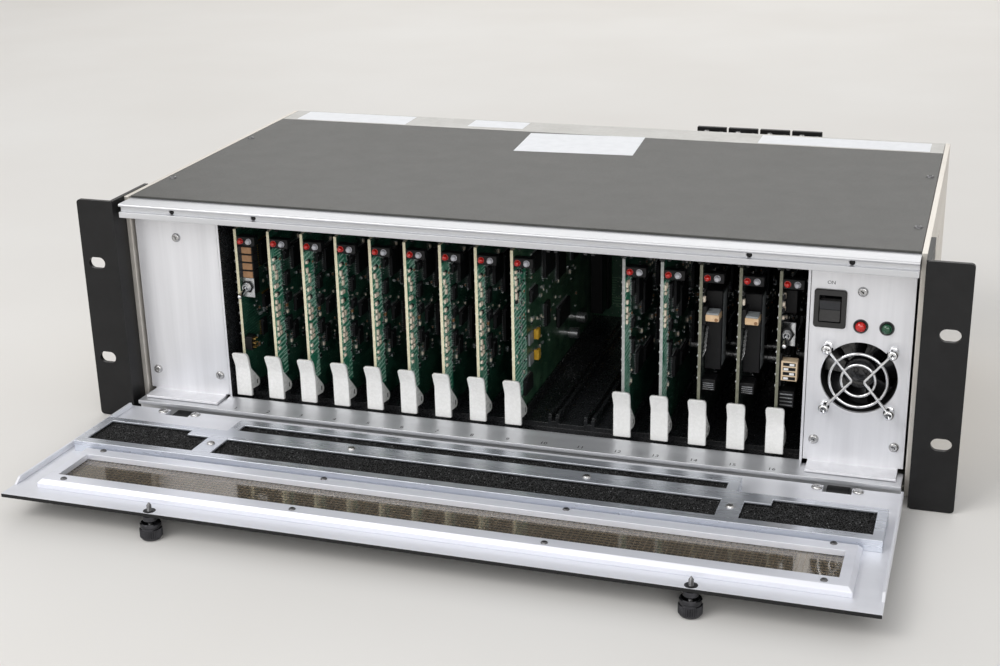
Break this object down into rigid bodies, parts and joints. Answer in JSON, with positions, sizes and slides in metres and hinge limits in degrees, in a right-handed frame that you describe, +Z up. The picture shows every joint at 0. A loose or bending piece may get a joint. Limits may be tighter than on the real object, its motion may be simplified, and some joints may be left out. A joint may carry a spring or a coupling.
{
  "type": "modular card frame",
  "caption": "Rack mounted modular card frame with a drop-down door, plug-in circuit cards with ejector levers and a slide-in power module with a fan.",
  "frame": {"origin": "centre of the overall box at the level of the surface the frame stands on, door open", "axes": "+X to the right seen from the front, +Y from the door to the rear panel, +Z up"},
  "size_m": [0.4826, 0.3901, 0.1311],
  "materials": {
    "side_aluminium": "satin",
    "cover_paint": "matt",
    "ear_paint": "satin",
    "rail_aluminium": "satin",
    "panel_aluminium": "fine brushed",
    "door_aluminium": "satin",
    "tray_steel": "satin",
    "foam": "open cell foam",
    "smoked_window": "gloss",
    "guide_plastic": "matt",
    "board_green": "satin",
    "board_dark": "satin",
    "screw_steel": "satin",
    "guard_wire": "polished",
    "case_steel": "satin",
    "toggle_metal": "polished",
    "ejector_white": "gloss"
  },
  "bodies": {
    "chassis": {"side_plates": "side_aluminium", "top_cover": "cover_paint", "base_plate": "side_aluminium", "rack_ears": "ear_paint", "front_rails": "rail_aluminium", "rear_panel": "side_aluminium", "card_guides": "guide_plastic", "midplane": "board_green", "bay_dividers": "side_aluminium", "blank_panel": "panel_aluminium", "chassis_screws": "screw_steel", "bnc_connectors": "screw_steel", "terminal_blocks": "guide_plastic", "power_inlets": "guide_plastic", "hinge_blocks": "ear_paint"},
    "door": {"door_skin": "door_aluminium", "filter_tray": "tray_steel", "filter_foam": "foam", "window_bezel": "door_aluminium", "window_pane": "smoked_window", "door_screws": "screw_steel"},
    "thumb_left": {"thumbscrew_left": "guide_plastic"},
    "thumb_right": {"thumbscrew_right": "guide_plastic"},
    "power_module": {"psu_case": "case_steel", "psu_panel": "panel_aluminium", "fan_frame": "guide_plastic", "fan_guard": "guard_wire", "psu_fittings": "guide_plastic"},
    "rotor": {"fan_rotor": "guide_plastic"},
    "power_rocker": {"rocker": "guide_plastic"},
    "lever_1": {"toggle_1": "toggle_metal"},
    "lever_16": {"toggle_16": "toggle_metal"},
    "card_1": {"card_1": "board_green"},
    "ejector_1": {"ejector_1": "ejector_white"},
    "card_2": {"card_2": "board_green"},
    "ejector_2": {"ejector_2": "ejector_white"},
    "card_3": {"card_3": "board_green"},
    "ejector_3": {"ejector_3": "ejector_white"},
    "card_4": {"card_4": "board_green"},
    "ejector_4": {"ejector_4": "ejector_white"},
    "card_5": {"card_5": "board_green"},
    "ejector_5": {"ejector_5": "ejector_white"},
    "card_6": {"card_6": "board_green"},
    "ejector_6": {"ejector_6": "ejector_white"},
    "card_7": {"card_7": "board_green"},
    "ejector_7": {"ejector_7": "ejector_white"},
    "card_8": {"card_8": "board_green"},
    "ejector_8": {"ejector_8": "ejector_white"},
    "card_9": {"card_9": "board_green"},
    "ejector_9": {"ejector_9": "ejector_white"},
    "card_12": {"card_12": "board_green"},
    "ejector_12": {"ejector_12": "ejector_white"},
    "card_13": {"card_13": "board_green"},
    "ejector_13": {"ejector_13": "ejector_white"},
    "card_14": {"card_14": "board_dark"},
    "ejector_14": {"ejector_14": "ejector_white"},
    "card_15": {"card_15": "board_dark"},
    "ejector_15": {"ejector_15": "ejector_white"},
    "card_16": {"card_16": "board_green"},
    "ejector_16": {"ejector_16": "ejector_white"}
  },
  "joints": [
    {"name": "door_hinge", "type": "hinge", "parent": "chassis", "child": "door", "pos_m": [0, -0.06822, 0.0045], "axis": [1, 0, 0], "range_deg": [-87.85, 0]},
    {"name": "thumb_left_push", "type": "slide", "parent": "door", "child": "thumb_left", "axis": [0, 0.0375, 0.9993], "range_m": [0, 0.003]},
    {"name": "thumb_right_push", "type": "slide", "parent": "door", "child": "thumb_right", "axis": [0, 0.0375, 0.9993], "range_m": [0, 0.003]},
    {"name": "power_module_slide", "type": "slide", "parent": "chassis", "child": "power_module", "axis": [0, -1, 0], "range_m": [0, 0.037]},
    {"name": "fan_spin", "type": "hinge", "parent": "power_module", "child": "rotor", "pos_m": [0.19, -0.03292, 0.06175], "axis": [0, 1, 0], "continuous": true},
    {"name": "rocker_tilt", "type": "hinge", "parent": "power_module", "child": "power_rocker", "pos_m": [0.174, -0.04292, 0.0976], "axis": [-1, 0, 0], "range_deg": [0, 12]},
    {"name": "card_1_slide", "type": "slide", "parent": "chassis", "child": "card_1", "axis": [0, -1, 0], "range_m": [0, 0.036]},
    {"name": "ejector_1_lever", "type": "hinge", "parent": "card_1", "child": "ejector_1", "pos_m": [-0.15576, -0.03502, 0.0203], "axis": [1, 0, 0], "range_deg": [0, 55]},
    {"name": "card_2_slide", "type": "slide", "parent": "chassis", "child": "card_2", "axis": [0, -1, 0], "range_m": [0, 0.036]},
    {"name": "ejector_2_lever", "type": "hinge", "parent": "card_2", "child": "ejector_2", "pos_m": [-0.13544, -0.03502, 0.0203], "axis": [1, 0, 0], "range_deg": [0, 55]},
    {"name": "card_3_slide", "type": "slide", "parent": "chassis", "child": "card_3", "axis": [0, -1, 0], "range_m": [0, 0.036]},
    {"name": "ejector_3_lever", "type": "hinge", "parent": "card_3", "child": "ejector_3", "pos_m": [-0.11512, -0.03502, 0.0203], "axis": [1, 0, 0], "range_deg": [0, 55]},
    {"name": "card_4_slide", "type": "slide", "parent": "chassis", "child": "card_4", "axis": [0, -1, 0], "range_m": [0, 0.036]},
    {"name": "ejector_4_lever", "type": "hinge", "parent": "card_4", "child": "ejector_4", "pos_m": [-0.0948, -0.03502, 0.0203], "axis": [1, 0, 0], "range_deg": [0, 55]},
    {"name": "card_5_slide", "type": "slide", "parent": "chassis", "child": "card_5", "axis": [0, -1, 0], "range_m": [0, 0.036]},
    {"name": "ejector_5_lever", "type": "hinge", "parent": "card_5", "child": "ejector_5", "pos_m": [-0.07448, -0.03502, 0.0203], "axis": [1, 0, 0], "range_deg": [0, 55]},
    {"name": "card_6_slide", "type": "slide", "parent": "chassis", "child": "card_6", "axis": [0, -1, 0], "range_m": [0, 0.036]},
    {"name": "ejector_6_lever", "type": "hinge", "parent": "card_6", "child": "ejector_6", "pos_m": [-0.05416, -0.03502, 0.0203], "axis": [1, 0, 0], "range_deg": [0, 55]},
    {"name": "card_7_slide", "type": "slide", "parent": "chassis", "child": "card_7", "axis": [0, -1, 0], "range_m": [0, 0.036]},
    {"name": "ejector_7_lever", "type": "hinge", "parent": "card_7", "child": "ejector_7", "pos_m": [-0.03384, -0.03502, 0.0203], "axis": [1, 0, 0], "range_deg": [0, 55]},
    {"name": "card_8_slide", "type": "slide", "parent": "chassis", "child": "card_8", "axis": [0, -1, 0], "range_m": [0, 0.036]},
    {"name": "ejector_8_lever", "type": "hinge", "parent": "card_8", "child": "ejector_8", "pos_m": [-0.01352, -0.03502, 0.0203], "axis": [1, 0, 0], "range_deg": [0, 55]},
    {"name": "card_9_slide", "type": "slide", "parent": "chassis", "child": "card_9", "axis": [0, -1, 0], "range_m": [0, 0.036]},
    {"name": "ejector_9_lever", "type": "hinge", "parent": "card_9", "child": "ejector_9", "pos_m": [0.0068, -0.03502, 0.0203], "axis": [1, 0, 0], "range_deg": [0, 55]},
    {"name": "card_12_slide", "type": "slide", "parent": "chassis", "child": "card_12", "axis": [0, -1, 0], "range_m": [0, 0.036]},
    {"name": "ejector_12_lever", "type": "hinge", "parent": "card_12", "child": "ejector_12", "pos_m": [0.06776, -0.03502, 0.0203], "axis": [1, 0, 0], "range_deg": [0, 55]},
    {"name": "card_13_slide", "type": "slide", "parent": "chassis", "child": "card_13", "axis": [0, -1, 0], "range_m": [0, 0.036]},
    {"name": "ejector_13_lever", "type": "hinge", "parent": "card_13", "child": "ejector_13", "pos_m": [0.08808, -0.03502, 0.0203], "axis": [1, 0, 0], "range_deg": [0, 55]},
    {"name": "card_14_slide", "type": "slide", "parent": "chassis", "child": "card_14", "axis": [0, -1, 0], "range_m": [0, 0.036]},
    {"name": "ejector_14_lever", "type": "hinge", "parent": "card_14", "child": "ejector_14", "pos_m": [0.1084, -0.03502, 0.0203], "axis": [1, 0, 0], "range_deg": [0, 55]},
    {"name": "card_15_slide", "type": "slide", "parent": "chassis", "child": "card_15", "axis": [0, -1, 0], "range_m": [0, 0.036]},
    {"name": "ejector_15_lever", "type": "hinge", "parent": "card_15", "child": "ejector_15", "pos_m": [0.12872, -0.03502, 0.0203], "axis": [1, 0, 0], "range_deg": [0, 55]},
    {"name": "card_16_slide", "type": "slide", "parent": "chassis", "child": "card_16", "axis": [0, -1, 0], "range_m": [0, 0.036]},
    {"name": "ejector_16_lever", "type": "hinge", "parent": "card_16", "child": "ejector_16", "pos_m": [0.14904, -0.03502, 0.0203], "axis": [1, 0, 0], "range_deg": [0, 55]},
    {"name": "toggle_1_throw", "type": "hinge", "parent": "card_1", "child": "lever_1", "pos_m": [-0.15256, -0.03622, 0.078], "axis": [-1, 0, 0], "range_deg": [0, 34]},
    {"name": "toggle_16_throw", "type": "hinge", "parent": "card_16", "child": "lever_16", "pos_m": [0.15224, -0.03622, 0.078], "axis": [-1, 0, 0], "range_deg": [0, 34]}
  ]
}
